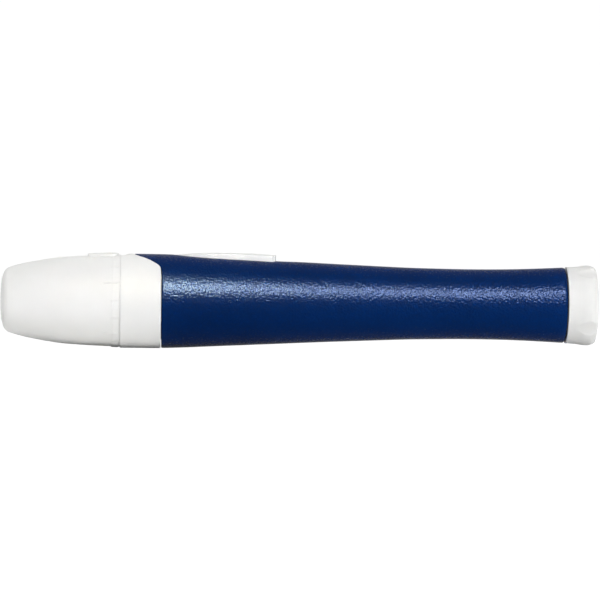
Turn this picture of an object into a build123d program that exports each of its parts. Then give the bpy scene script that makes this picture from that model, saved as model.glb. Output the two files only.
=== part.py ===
from build123d import *
import math
import os

# A pen-shaped lancing device lying on its side, nose towards -X, release button up.
# Stations along the pen are counted from the tip of the nose; the parts are moved to
# the middle of the pen, and up on to the surface that they lie on, when they are written.

# Clearances
running_gap = 0.05       # radial, between a bore and what turns or slides in it
loose_gap = 0.3          # round what moves without being guided
slot_gap = 0.15          # round the release button and the barrel's tongue
cut_over = 1.0           # how far a cut runs past the faces that it opens

# Straight runs that a revolved curve is made of
long_run_count = 4
corner_run_count = 3
face_run_count = 2

# Lengths of the outer pieces
dial_length = 21.5
collar_length = 7.3
barrel_length = 72.7
knob_length = 6.0
dial_seam = 0.1          # between the dial and the collar behind it
collar_seam = 0.1        # between the collar and the barrel
knob_seam = 0.3          # dark gap in front of the end knob

# Travels
knob_travel = 7.0
firing_travel = 2.5      # how far the carrier flies past its place at rest
button_travel = 1.0
settings_per_turn = 16   # the dial's settings are this share of a turn apart
setting_count = 7

# Radii round the lancet, from the inside out to the collar
lancet_radius = 3.2
cup_wall = 1.3
tube_room = 0.6          # between the cup and the cap's tube
tube_wall = 0.8
neck_room = 0.8
neck_wall = 1.6
collar_wall = 1.55
dial_inset = 0.2         # how far the dial's rear edge stays under the collar
barrel_inset = 0.08
cup_radius = lancet_radius + cup_wall
tube_bore = cup_radius + tube_room
tube_radius = tube_bore + tube_wall
neck_bore = cup_radius + neck_room
neck_radius = neck_bore + neck_wall
collar_radius = neck_radius + running_gap + collar_wall
dial_radius = collar_radius - dial_inset
barrel_front_radius = collar_radius - barrel_inset

# Radii at the waist and the tail, from the shaft out to the barrel
shaft_radius = 1.6
ring_web_height = 1.9    # how far the spring collar stands out from the shaft
chassis_tube_wall = 1.1
chassis_fit = 0.19
barrel_wall = 1.15
guide_seat_depth = 0.61
tail_wall = 1.1
knob_front_rise = 0.12   # how far the knob stands out past the barrel's tail
knob_rise = 0.42
ring_radius = shaft_radius + ring_web_height
chassis_bore = ring_radius + loose_gap
chassis_radius = chassis_bore + chassis_tube_wall
waist_bore = chassis_radius + chassis_fit
waist_radius = waist_bore + barrel_wall
guide_radius = waist_bore + guide_seat_depth
barrel_tail_radius = guide_radius + tail_wall
knob_front_radius = barrel_tail_radius + knob_front_rise
knob_radius = barrel_tail_radius + knob_rise

# Stations of the outer pieces
collar_start = dial_length + dial_seam
collar_end = collar_start + collar_length
barrel_start = collar_end + collar_seam
barrel_end = barrel_start + barrel_length
knob_start = barrel_end + knob_seam
pen_length = knob_start + knob_length

# Depth dial
nose_wall = 1.6
nose_dome = 0.36         # how far the middle of the nose's face stands out
nose_face_share = 0.512
nose_corner_shares = (0.093, 0.7253)  # where the corner runs into the side
bulge_shares = (0.586, 0.953)         # where the straight rear bends towards the nose
aperture_radius = 2.2
pad_rise = 0.43
pad_length = 5.6
pad_width = 4.4
pad_setback = 0.25
click_width = 1.2
click_thickness = 1.0
notch_radius = 0.5
bead_rise = 0.35
bead_length = 1.0
bead_setback = 1.0
notch_rim = tube_radius + click_width

# Depth cam
cam_shoulder = 0.9       # how much narrower the cam's seat is than the tube's
cam_wall = 1.7
cam_base = 2.85
cam_rise = 0.25
cam_room = 0.45
tube_setback = 0.25
cam_radius = tube_radius - cam_shoulder
cam_bore = cam_radius - cam_wall
cam_length = cam_base + cam_rise * (setting_count - 1)
cam_start = nose_wall
cam_seat_end = cam_start + cam_length + cam_room
tube_start = cam_seat_end + tube_setback

# Cap base and the neck that it slides on
collar_web = 1.5
collar_edge = 0.25
neck_gap = 0.4
neck_hold = 1.3          # how deep the neck sits in the barrel
collar_web_end = collar_start + collar_web
neck_start = collar_web_end + neck_gap
chassis_start = barrel_start + neck_hold

# Barrel
waist_station = 56.5     # from the barrel's front edge
waist_reach = 20.0       # how far forward of the waist its curve runs
waist_rise = 0.5
core_step_length = 14.0
core_step_depth = 0.51
tongue_gap = 0.9         # between the collar's web and the tongue's tip
tongue_half_width = 7.4
tongue_tip_shares = (0.24, 0.365)
tongue_flank_shares = (0.7, 0.655)
dish_start = 1.9         # from the barrel's front edge
dish_half_width = 5.5
dish_length = 23.5
dish_depth = 0.29
dish_middle_share = 0.33
dish_rear_shares = (0.65, 0.62)
tongue_start = collar_web_end + tongue_gap

# Chassis, in front
chassis_front_wall = 1.15
cup_slide = 0.25
chassis_flange = 2.0
chassis_wall = 1.5
roof_thickness = 0.35    # over the cup, under the button
chassis_front_bore = cup_radius + cup_slide
chassis_front_radius = chassis_front_bore + chassis_front_wall
chassis_flat = chassis_front_bore + roof_thickness

# Release button
button_setback = 2.0     # from the barrel's front edge
button_length = 18.6
button_half_width = 2.1
button_front_length = 6.0  # how far back its pointed front runs
button_front_drop = 0.06
button_rise = 0.4
button_proud = 1.05      # its rear edge over the barrel's side
button_crest_share = 0.45
button_wall = 0.7
button_edge = 0.2
tab_half_width = 1.4
tab_length = 0.9
tab_height = 0.42
tab_drop = 0.33
leg_length = 1.2
post_setback = 1.8       # from the button's rear end to the post
post_length = 2.0
button_start = barrel_start + button_setback
button_end = button_start + button_length
button_foot = chassis_flat + button_travel + slot_gap
button_front_height = barrel_front_radius - button_front_drop
button_top = barrel_front_radius + button_rise
button_ceiling = button_front_height - button_wall
rear_tab_top = chassis_front_radius - tab_drop

# Button spring, which stands on the chassis roof
button_wire = 0.15
button_coil = 0.9
button_turns = 2.5
button_spring_setback = 8.0  # from the button's front end to the spring's middle
spring_station = button_start + button_spring_setback

# Lancet carrier
cup_setback = 0.7        # how far the cup's rear stands inside the chassis
cup_lug = 1.0
cup_lug_width = 1.2
cup_floor = 2.0
cup_slot_share = 0.55
cup_slot_width = 0.8
arm_length = 9.3
arm_thickness = 0.8
arm_width = 2.4
tooth_length = 2.0
tooth_rise = 0.6
tooth_gap = 0.35         # between the tooth and the bridge that it passes under
shaft_socket = 1.2
cup_start = cam_start + cam_base + cam_rise * (setting_count - 1) / 2 + loose_gap + firing_travel + cup_lug
cup_end = chassis_start + cup_setback
cup_length = cup_end - cup_start
tooth_top = chassis_front_bore - tooth_gap
arm_high = tooth_top - tooth_rise
arm_low = arm_high - arm_thickness
arm_end = cup_end + arm_length
tooth_start = arm_end - tooth_length

# Chassis, along the pen
roof_margin = 0.75
bridge_length = 1.5
tab_room = 1.0
window_share = 0.45
window_height = 3.0
peg_radius = 0.5
peg_length = 1.0
roof_slot_width = 3.2
roof_end = spring_station + button_coil + button_wire + roof_margin
bridge_end = tooth_start + knob_travel - loose_gap
chassis_wall_start = button_end + tab_length + tab_room
chassis_tube_start = chassis_wall_start + chassis_wall

# Cocking sleeve, knob and rear guide, from the tail forwards
knob_floor = 2.0
knob_wall = 1.2
knob_boss_wall = 0.95
knob_dome = 0.7
knob_edge = 1.1          # radius of the corner between the knob's side and its end
knob_flare = 3.4
scallop_count = 4
scallop_turn = 36.0
scallop_depth = 0.5
scallop_round = 4.6
scallop_lean = 7.5
guide_length = 4.5
head_height = 1.2        # how far the shaft's head stands out from the shaft
head_length = 2.0
head_pin = 1.0
sleeve_wall = 0.9
sleeve_lip = 1.5
sleeve_gap = 1.5         # between the chassis and the sleeve's flange
knob_spring_length = 12.7
knob_wire = 0.25
knob_coil_gap = 0.17
knob_turns = 4.0
head_radius = shaft_radius + head_height
sleeve_bore = head_radius + loose_gap
sleeve_radius = sleeve_bore + sleeve_wall
knob_coil = sleeve_radius + knob_coil_gap + knob_wire
sleeve_flange_radius = knob_coil + knob_wire + running_gap
knob_floor_start = pen_length - knob_floor
guide_start = barrel_end - guide_length
lip_end = guide_start - knob_spring_length
lip_start = lip_end - sleeve_lip
head_start = lip_end + firing_travel + loose_gap
head_end = head_start + head_length

# Springs round the shaft: wire radius, mean coil radius and turns
return_spring_length = 7.0
return_wire = 0.25
return_coil = 2.7
return_turns = 3.0
drive_wire = 0.35
drive_coil = 3.1
drive_turns = 5.0
wire_sides = 4
ring_hub_radius = 2.3
ring_length = 2.0
ring_web = 1.0
washer_thickness = 0.6
chassis_end = lip_start - sleeve_gap
chassis_tube_end = chassis_end - chassis_wall
washer_start = chassis_tube_end - washer_thickness
ring_start = chassis_tube_start + return_spring_length
ring_end = ring_start + ring_length
ring_middle = (ring_start + ring_end) / 2


def on_axis(points):
    """Revolve an outline of (station, radius) corners round the pen's axis."""
    return revolve(Plane.XZ * make_face(Polyline(*points, close=True)), Axis.X)


def rod(start, end, radius):
    return on_axis(((start, 0), (end, 0), (end, radius), (start, radius)))


def tube(start, end, radius, bore):
    return on_axis(((start, bore), (end, bore), (end, radius), (start, radius)))


def block(start, end, half_width, low, high):
    """A box between two stations and two heights, centred on the pen's middle plane."""
    box = Box(end - start, half_width + half_width, high - low)
    return Pos((start + end) / 2, 0, (low + high) / 2) * box


def turned(shape, degrees):
    return Rot(degrees, 0, 0) * shape


def raised(outline, height):
    return extrude(outline, height, dir=(0, 0, 1))


def wound(height, coil_radius, wire_radius, turns, foot, direction):
    """A helix of wire; the section is kept to few sides, because a coil has many faces."""
    line = Helix(height / turns, height, coil_radius, foot, direction)
    section = Plane(line @ 0, z_dir=line % 0) * RegularPolygon(wire_radius, wire_sides)
    return sweep(section, path=line, is_frenet=True)


def coil(start, end, coil_radius, wire_radius, turns):
    """A compression spring along the pen, with its wire just inside both stations."""
    height = end - start - 2 * wire_radius
    return wound(height, coil_radius, wire_radius, turns, (start + wire_radius, 0, 0), (1, 0, 0))


def end_dome(tip, edge):
    """An arc from the axis at the tip to the edge of an end face, centred on the axis."""
    station, height = edge
    drop = tip - station
    radius = (height ** 2 + drop ** 2) / (2 * abs(drop))
    turn = math.degrees(math.asin(height / radius))
    if drop > 0:
        return CenterArc((tip - radius, 0), radius, 0, turn)
    return CenterArc((tip + radius, 0), radius, 180, -turn)


def straightened(curve, runs):
    """The curve as straight runs between points on it, which revolve into plain cones."""
    return Polyline(*[curve @ (index / runs) for index in range(runs + 1)])


def dial_index_pad():
    """The raised pad with rounded corners that points to the setting."""
    end = dial_length - pad_setback
    outline = RectangleRounded(pad_length, pad_width, pad_width / 4)
    slab = raised(Pos(end - pad_length / 2, 0) * outline, dial_radius + cut_over)
    return slab & tube(end - pad_length, end, dial_radius + pad_rise, dial_radius - nose_wall)


def make_depth_dial():
    bulge = (dial_length * bulge_shares[0], dial_radius * bulge_shares[1])
    corner_start = (dial_length * nose_corner_shares[0], dial_radius * nose_corner_shares[1])
    face_edge = (nose_dome, dial_radius * nose_face_share)
    rear = Line((dial_length, dial_radius), bulge)
    front = TangentArc(bulge, corner_start, tangent=rear % 1)
    corner = TangentArc(corner_start, face_edge, tangent=front % 1)
    face = end_dome(0, face_edge)
    rim = Polyline((0, 0), (dial_length, 0), rear @ 0)
    nose = straightened(front, long_run_count) + straightened(corner, long_run_count)
    nose += straightened(face, face_run_count)
    dial = revolve(Plane.XZ * make_face(rear + nose + rim), Axis.X)
    dial += dial_index_pad()
    dial -= rod(-cut_over, dial_length, aperture_radius)
    dial -= rod(cam_start, cam_seat_end, cam_radius)
    dial -= rod(cam_seat_end, dial_length + cut_over, tube_radius + running_gap)
    bead = tube_start + bead_setback
    dial -= rod(bead - slot_gap, bead + bead_length + slot_gap, tube_radius + bead_rise + slot_gap)
    counterbore = dial_length - click_thickness
    dial -= rod(counterbore, dial_length + cut_over, notch_rim)
    for index in range(settings_per_turn):
        notch = rod(counterbore, dial_length + cut_over, notch_radius)
        dial -= turned(Pos(0, 0, notch_rim) * notch, index * 360 / settings_per_turn)
    return dial


def make_depth_cam():
    """A ring with two like flights of steps; a higher step ends the carrier's flight sooner."""
    outside = cam_radius - running_gap
    cam = tube(cam_start, cam_start + cam_base, outside, cam_bore)
    turn = 360 / settings_per_turn
    reach = cam_radius + cut_over
    half_chord = reach * math.tan(math.radians(turn / 2))
    wedge = Plane.YZ * make_face(Polyline(
        (0, 0), (reach, half_chord), (reach, -half_chord), close=True))
    for index in range(setting_count):
        ring = tube(cam_start, cam_start + cam_base + cam_rise * index, outside, cam_bore)
        sector = extrude(wedge, cam_seat_end, dir=(1, 0, 0)) & ring
        middle = (index - (setting_count - 1) / 2) * turn
        cam += turned(sector, middle)
        cam += turned(sector, middle + 180)
    return cam


def make_click_ring():
    """A flat split ring with two nubs that ride over the dial's notches."""
    start = collar_start - click_thickness
    rim = notch_rim - loose_gap
    ring = tube(start, collar_start, rim - notch_radius / 2, tube_radius + running_gap)
    for side in (90, 270):
        nub = Pos(0, 0, rim - notch_radius) * rod(start, collar_start, notch_radius)
        ring += turned(nub, side)
    ring -= rod(start - cut_over, collar_start + cut_over, tube_radius + running_gap)
    return ring - block(start - cut_over, collar_start + cut_over, notch_radius, -notch_rim, 0)


def tongue_outline(margin):
    """Plan of the barrel's tongue: a blunt ogive whose flanks sweep out to the barrel's edge."""
    def place(shares):
        return (tongue_start + (barrel_start - tongue_start) * shares[0] - margin,
                tongue_half_width * shares[1] + margin)

    tip = TangentArc((tongue_start - margin, 0), place(tongue_tip_shares), tangent=(0, 1))
    flank = Line(tip @ 1, place(tongue_flank_shares))
    root = TangentArc(flank @ 1, place((1, 1)), tangent=flank % 1)
    half = tip + flank + root + Polyline(
        root @ 1, (chassis_start, (root @ 1).Y), (chassis_start, 0))
    return make_face(half + mirror(half, Plane.XZ))


def make_cap_base():
    base = tube(tube_start, collar_start, tube_radius, tube_bore)
    bead = tube_start + bead_setback
    base += tube(bead, bead + bead_length, tube_radius + bead_rise, tube_bore)
    base += on_axis((
        (collar_start, tube_bore), (collar_web_end, tube_bore),
        (collar_web_end, neck_radius + running_gap), (collar_end, neck_radius + running_gap),
        (collar_end, collar_radius), (collar_start + collar_edge, collar_radius),
        (collar_start, collar_radius - collar_edge)))
    tongue = raised(tongue_outline(slot_gap), collar_radius + cut_over)
    return base - (tongue & rod(collar_web_end, barrel_start + cut_over, collar_radius + cut_over))


def barrel_side():
    """The barrel's side: a straight taper, a long easing into the waist, and the flare behind."""
    waist = (barrel_start + waist_station, waist_radius)
    easing = TangentArc(waist, (waist[0] - waist_reach, waist_radius + waist_rise), tangent=(-1, 0))
    taper = Line(easing @ 1, (barrel_start, barrel_front_radius))
    tail = TangentArc(waist, (barrel_end, barrel_tail_radius), tangent=(1, 0))
    return taper, easing, tail


def barrel_core():
    """The hollow of the barrel: seats at both ends and a stepped bore between them."""
    shoulder = chassis_start + chassis_flange
    wide = chassis_front_radius + running_gap
    middle = waist_bore + core_step_depth
    step = chassis_tube_start + core_step_length
    return on_axis((
        (barrel_start - cut_over, 0), (barrel_start - cut_over, neck_radius),
        (shoulder, neck_radius), (shoulder, wide), (chassis_tube_start, wide),
        (chassis_tube_start, middle), (step, middle), (step, waist_bore),
        (guide_start, waist_bore), (guide_start, guide_radius),
        (barrel_end + cut_over, guide_radius), (barrel_end + cut_over, 0)))


def side_height(station):
    """The barrel's radius at a station; its curves are so shallow that X follows the share."""
    for curve in barrel_side():
        first, last = (curve @ 0).X, (curve @ 1).X
        if min(first, last) <= station <= max(first, last):
            return (curve @ ((station - first) / (last - first))).Y
    return barrel_tail_radius


def thumb_dish():
    """What the shallow thumb dish takes off the top of the barrel round the button."""
    def floor(along, down):
        station = barrel_start + dish_start + dish_length * along
        return station, side_height(station) - dish_depth * down

    front = ThreePointArc(floor(0, 0), floor(dish_middle_share, 1), floor(*dish_rear_shares))
    rear = Line(front @ 1, floor(1, 0))
    top = collar_radius + cut_over
    lid = Polyline(rear @ 1, ((rear @ 1).X, top), ((front @ 0).X, top), front @ 0)
    return extrude(Plane.XZ * make_face(front + rear + lid), dish_half_width, both=True)


def button_outline(margin):
    """Plan of the release button: a long pad with an elliptical front and a softly arched rear."""
    end = button_end + margin
    half = button_half_width + margin
    shoulder = (button_start + button_front_length, 0)
    front = EllipticalCenterArc(shoulder, button_front_length + margin, half, 90, arc_size=180)
    corner = end - button_wall
    rear = ThreePointArc((corner, -half), (end, 0), (corner, half))
    return make_face(front + Line(front @ 1, rear @ 0) + rear + Line(rear @ 1, front @ 0))


def make_barrel():
    taper, easing, tail = barrel_side()
    rim = Polyline(tail @ 1, (barrel_end, 0), (barrel_start, 0), taper @ 1)
    barrel = revolve(Plane.XZ * make_face(taper + easing + tail + rim), Axis.X)
    tongue = raised(tongue_outline(0), collar_radius + cut_over)
    barrel += tongue & rod(tongue_start - cut_over, barrel_start, barrel_front_radius)
    barrel -= barrel_core()
    barrel -= rod(tongue_start - cut_over, barrel_start, neck_radius)
    barrel -= thumb_dish()
    return barrel - raised(button_outline(slot_gap), collar_radius + cut_over)


def make_nose_collar():
    """The neck that the cap slides on, held in the front of the barrel."""
    return on_axis((
        (neck_start, neck_bore), (chassis_start, neck_bore), (chassis_start, neck_radius),
        (neck_start + loose_gap, neck_radius), (neck_start, neck_radius - loose_gap)))


def chassis_body():
    flange_end = chassis_start + chassis_flange
    hole = shaft_radius + loose_gap
    body = on_axis((
        (chassis_start, chassis_front_bore), (chassis_start, neck_radius),
        (flange_end, neck_radius), (flange_end, chassis_front_radius),
        (chassis_tube_start, chassis_front_radius), (chassis_tube_start, chassis_radius),
        (chassis_end, chassis_radius), (chassis_end, hole), (chassis_tube_end, hole),
        (chassis_tube_end, chassis_bore), (chassis_tube_start, chassis_bore),
        (chassis_tube_start, hole), (chassis_wall_start, hole),
        (chassis_wall_start, chassis_front_bore)))
    top = neck_radius + cut_over
    body -= block(chassis_start - cut_over, chassis_wall_start, neck_radius, chassis_flat, top)
    half_slot = roof_slot_width / 2
    body -= block(roof_end, bridge_end - bridge_length, half_slot, 0, top)
    body -= block(bridge_end, chassis_wall_start, half_slot, 0, top)
    tube_length = chassis_tube_end - chassis_tube_start
    middle = chassis_tube_start + tube_length / 2
    slot = SlotOverall(tube_length * window_share, window_height)
    return body - extrude(Plane.XZ * (Pos(middle, 0) * slot), neck_radius, both=True)


def chassis_pegs(radius):
    """Locating pegs across the parting face, above and below the holes in the two walls."""
    height = (chassis_bore + shaft_radius + loose_gap) / 2
    peg = Rot(90, 0, 0) * Cylinder(radius, 2 * peg_length)
    pegs = []
    for station in (chassis_wall_start + chassis_wall / 2, chassis_end - chassis_wall / 2):
        pegs += [Pos(station, 0, height) * peg, Pos(station, 0, -height) * peg]
    return pegs


def chassis_half(side):
    reach = chassis_end - chassis_start
    keep = Pos(chassis_start + reach / 2, side * neck_radius, 0) * Box(
        reach, 2 * neck_radius, 2 * neck_radius)
    return chassis_body() & keep


def make_chassis_left():
    half = chassis_half(1)
    for peg in chassis_pegs(peg_radius + running_gap):
        half -= peg
    return half


def make_chassis_right():
    half = chassis_half(-1)
    for peg in chassis_pegs(peg_radius):
        half += peg
    return half


def make_spring_washer():
    return tube(washer_start, chassis_tube_end, chassis_bore - running_gap, shaft_radius + loose_gap)


def make_release_button():
    """A crowned pad, hollow below, with two retaining tabs and the post over the latch."""
    rear_height = side_height(button_end) + button_proud
    top = ThreePointArc((button_start, button_front_height),
                        (button_start + button_length * button_crest_share, button_top),
                        (button_end, rear_height))
    rim = Polyline(top @ 1, (button_end, 0), (button_start, 0), top @ 0)
    dome = revolve(Plane.XZ * make_face(top + rim), Axis.X)
    pad = raised(Pos(0, 0, button_foot) * button_outline(0), button_top) & dome
    pad = chamfer(pad.faces().sort_by(Axis.Z)[-1].edges(), button_edge)
    hollow = button_start + button_front_length
    pad -= block(hollow, button_end - button_wall, button_half_width - button_wall, 0, button_ceiling)
    leg_end = button_end - loose_gap
    post_end = button_end - post_setback
    pad += block(post_end - post_length, post_end, tab_half_width, tooth_top + button_travel + slot_gap,
                 button_ceiling)
    pad += block(leg_end - leg_length, leg_end, tab_half_width, rear_tab_top - tab_height,
                 button_ceiling)
    pad += block(leg_end - leg_length, button_end + tab_length, tab_half_width,
                 rear_tab_top - tab_height, rear_tab_top)
    return pad + block(button_start - tab_length / 2, hollow, tab_half_width, button_foot,
                       button_foot + tab_height)


def make_button_spring():
    """A short upright coil between the chassis roof and the button's ceiling."""
    height = button_ceiling - running_gap - chassis_flat - 2 * button_wire
    foot = (spring_station, 0, chassis_flat + button_wire)
    return wound(height, button_coil, button_wire, button_turns, foot, (0, 0, 1))


def make_lancet_cup():
    """A slotted collet for the lancet, with two stop lugs in front and the latch arm behind."""
    cup = rod(cup_start, cup_end, cup_radius)
    lug_start = cup_start - cup_lug
    lug = Pos(lug_start + cup_lug / 2, 0, 0) * Box(cup_lug, 2 * cup_radius, cup_lug_width)
    cup += lug & rod(lug_start, cup_start, cup_radius)
    floor = cup_end - cup_floor
    cup -= rod(lug_start - cut_over, floor, lancet_radius)
    slot = block(lug_start - cut_over, cup_start + cup_length * cup_slot_share, cup_slot_width / 2,
                 0, cup_radius + cut_over)
    for turn in (45, 135, 225, 315):
        cup -= turned(slot, turn)
    cup += block(floor, arm_end, arm_width / 2, arm_low, arm_high)
    tooth = Plane.XZ * make_face(Polyline(
        (tooth_start, arm_low), (tooth_start, tooth_top), (arm_end - tooth_length / 2, tooth_top),
        (arm_end, arm_high), (arm_end, arm_low), close=True))
    cup += extrude(tooth, arm_width / 2, both=True)
    return cup - rod(cup_end - shaft_socket, cup_end + cut_over, shaft_radius)


def make_carrier_shaft():
    return on_axis((
        (cup_end - shaft_socket, 0), (head_end, 0), (head_end, head_pin), (head_start, head_pin),
        (head_start, shaft_radius), (cup_end - shaft_socket, shaft_radius)))


def make_spring_collar():
    """The ring that both carrier springs push on: a thin web with a hub on each side."""
    front = ring_middle - ring_web / 2
    rear = ring_middle + ring_web / 2
    return on_axis((
        (ring_start, shaft_radius), (ring_end, shaft_radius), (ring_end, ring_hub_radius),
        (rear, ring_hub_radius), (rear, ring_radius), (front, ring_radius),
        (front, ring_hub_radius), (ring_start, ring_hub_radius)))


def make_shaft_head():
    return on_axis((
        (head_start, head_pin), (head_end, head_pin), (head_end, head_radius - loose_gap),
        (head_end - loose_gap, head_radius), (head_start, head_radius)))


def make_return_spring():
    return coil(chassis_tube_start, ring_middle - ring_web / 2 - running_gap, return_coil,
                return_wire, return_turns)


def make_drive_spring():
    return coil(ring_middle + ring_web / 2 + running_gap, washer_start, drive_coil, drive_wire,
                drive_turns)


def make_cocking_sleeve():
    """The tube that joins the knob to the hooked lip round the shaft."""
    return on_axis((
        (lip_start, shaft_radius + loose_gap), (lip_start, sleeve_flange_radius),
        (lip_end, sleeve_flange_radius), (lip_end, sleeve_radius),
        (knob_floor_start, sleeve_radius), (knob_floor_start, sleeve_bore),
        (lip_end, sleeve_bore), (lip_end, shaft_radius + loose_gap)))


def make_knob_spring():
    return coil(lip_end + running_gap, guide_start, knob_coil, knob_wire, knob_turns)


def make_rear_guide():
    return tube(guide_start, barrel_end, guide_radius, sleeve_radius + running_gap)


def scallop():
    """A shallow wedge-shaped grip hollow: a leaning cylinder that is deepest at the tail."""
    cutter = rod(knob_start - cut_over, pen_length + cut_over, scallop_round)
    tail = pen_length - knob_edge
    lift = knob_radius - scallop_depth + scallop_round
    return Pos(tail, 0, lift) * (Rot(0, scallop_lean, 0) * (Pos(-tail, 0, 0) * cutter))


def make_cocking_knob():
    side = Line((knob_start, knob_front_radius), (knob_start + knob_flare, knob_radius))
    corner_end = (pen_length - knob_dome, knob_radius - knob_edge)
    land = Line(side @ 1, (corner_end[0] - knob_edge, knob_radius))
    corner = TangentArc(land @ 1, corner_end, tangent=land % 1)
    face = end_dome(pen_length, corner_end)
    rim = Polyline((pen_length, 0), (knob_start, 0), side @ 0)
    tail = straightened(corner, corner_run_count) + straightened(face, face_run_count)
    knob = revolve(Plane.XZ * make_face(side + land + tail + rim), Axis.X)
    knob -= rod(knob_start - cut_over, knob_floor_start, sleeve_radius)
    boss = sleeve_radius + knob_boss_wall
    knob -= tube(knob_start - cut_over, knob_floor_start - knob_wall, knob_front_radius - knob_wall,
                 boss)
    for index in range(scallop_count):
        knob -= turned(scallop(), scallop_turn + index * 360 / scallop_count)
    return knob


makers = {
    "depth_dial": make_depth_dial,
    "depth_cam": make_depth_cam,
    "click_ring": make_click_ring,
    "cap_base": make_cap_base,
    "barrel": make_barrel,
    "nose_collar": make_nose_collar,
    "chassis_left": make_chassis_left,
    "chassis_right": make_chassis_right,
    "spring_washer": make_spring_washer,
    "rear_guide": make_rear_guide,
    "release_button": make_release_button,
    "button_spring": make_button_spring,
    "lancet_cup": make_lancet_cup,
    "carrier_shaft": make_carrier_shaft,
    "spring_collar": make_spring_collar,
    "shaft_head": make_shaft_head,
    "drive_spring": make_drive_spring,
    "return_spring": make_return_spring,
    "cocking_sleeve": make_cocking_sleeve,
    "knob_spring": make_knob_spring,
    "cocking_knob": make_cocking_knob,
}

os.makedirs("parts", exist_ok=True)
for name, make in makers.items():
    export_step(Pos(-pen_length / 2, 0, collar_radius) * make(), f"parts/{name}.step")
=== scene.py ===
# Looks of a pen-shaped lancing device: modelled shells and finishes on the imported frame.
import bmesh
import bpy
import math
import numpy as np
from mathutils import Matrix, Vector


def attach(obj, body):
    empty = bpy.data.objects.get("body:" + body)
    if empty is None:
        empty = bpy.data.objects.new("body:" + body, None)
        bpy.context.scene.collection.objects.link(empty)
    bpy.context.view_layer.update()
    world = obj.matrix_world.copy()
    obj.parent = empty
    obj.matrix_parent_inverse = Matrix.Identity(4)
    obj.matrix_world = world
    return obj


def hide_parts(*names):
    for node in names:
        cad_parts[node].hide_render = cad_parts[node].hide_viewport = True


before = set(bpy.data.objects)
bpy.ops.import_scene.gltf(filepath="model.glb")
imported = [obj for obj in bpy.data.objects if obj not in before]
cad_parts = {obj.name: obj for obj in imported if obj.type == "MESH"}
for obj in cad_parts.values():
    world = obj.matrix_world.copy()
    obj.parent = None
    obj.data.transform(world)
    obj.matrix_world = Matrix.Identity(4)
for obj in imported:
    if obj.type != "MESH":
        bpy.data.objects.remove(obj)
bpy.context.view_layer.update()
print("frame loaded")

mm = 0.001
pen = {"length": 108.0, "axisHeight": 8.5}      # in mm; stations are counted from the tip of the nose
edges = {"tip": 0.15, "soft": 0.1, "fine": 0.05, "crisp": 0.02}     # roundings of inner corners, in mm
blendWidth = 0.03                               # in mm: how wide two crossing surfaces blend
outOfReach = 99.0                               # in mm: a radius beyond every surface
mergeWithin = 2e-7                              # in metres: points closer than this become one


# shapes

def smoothThrough(table, at):
    # cubic pieces through the (place, value) pairs; each slope is taken from both neighbours
    places, values = np.array(table, float).T
    slopes = np.gradient(values, places)
    k = np.clip(np.searchsorted(places, at) - 1, 0, len(places) - 2)
    step = places[k + 1] - places[k]
    t = np.clip((at - places[k]) / step, 0, 1)
    rise = values[k + 1] - values[k]
    return (values[k] + rise * t * t * (3 - 2 * t)
            + step * t * (1 - t) * ((1 - t) * slopes[k] - t * slopes[k + 1]))


def easeStep(low, high, at):
    # 0 below low, 1 above high, and a smooth rise between them
    t = np.clip((at - low) / (high - low), 0, 1)
    return t * t * (3 - 2 * t)


def softLess(a, b):
    # the smaller of a and b, with the crossing rounded over the blend's width
    gap = a - b
    return (a + b - np.sqrt(gap * gap + blendWidth * blendWidth)) / 2


def roundedCorners(corners, steps=5):
    # each (station, radius, rounding) corner becomes a short curve between its two neighbours' sides
    corners = np.array(corners, float)
    place, rounding = corners[:, :2], corners[:, 2:3]
    before = np.roll(place, 1, axis=0) - place
    after = np.roll(place, -1, axis=0) - place
    before[0], after[-1] = 0, 0
    before *= rounding / np.maximum(np.linalg.norm(before, axis=1, keepdims=True), 1e-9)
    after *= rounding / np.maximum(np.linalg.norm(after, axis=1, keepdims=True), 1e-9)
    t = np.linspace(0, 1, steps)[None, :, None]
    curve = place[:, None] + (1 - t) ** 2 * before[:, None] + t ** 2 * after[:, None]
    return curve.reshape(-1, 2)


def evenlySpaced(points, count):
    # a smooth curve through (station, radius) points, walked in equal steps of its length
    spacing = np.concatenate([[0], np.cumsum(np.linalg.norm(np.diff(points, axis=0), axis=1))])
    at = np.linspace(0, spacing[-1], count)
    return np.stack([smoothThrough(np.stack([spacing, values], axis=1), at) for values in points.T],
                    axis=1)


def fullTurn(count):
    # angles once round the axis
    return np.linspace(0, 2 * math.pi, count, endpoint=False)


def fromNearest(angles, count):
    # angle from the nearest of the places that are spread evenly round the axis
    pitch = 2 * math.pi / count
    return (angles + pitch / 2) % pitch - pitch / 2


def aroundAxis(stations, radii, angles):
    # x follows the station; the angle starts at the top and turns towards the viewer
    x = (stations - pen["length"] / 2) * mm + 0 * angles
    y = -radii * np.sin(angles) * mm
    z = (pen["axisHeight"] + radii * np.cos(angles)) * mm
    return np.stack(np.broadcast_arrays(x, y, z), axis=-1)


def gridFaces(rows, columns, closedRows=False, closedColumns=True):
    # quads between neighbouring rows and columns of a grid that is counted row by row
    i = np.arange(rows if closedRows else rows - 1)[:, None]
    j = np.arange(columns if closedColumns else columns - 1)[None, :]
    nextI, nextJ = (i + 1) % rows, (j + 1) % columns
    corners = np.broadcast_arrays(i * columns + j, i * columns + nextJ,
                                  nextI * columns + nextJ, nextI * columns + j)
    return np.stack(corners, axis=-1).reshape(-1, 4)


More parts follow.
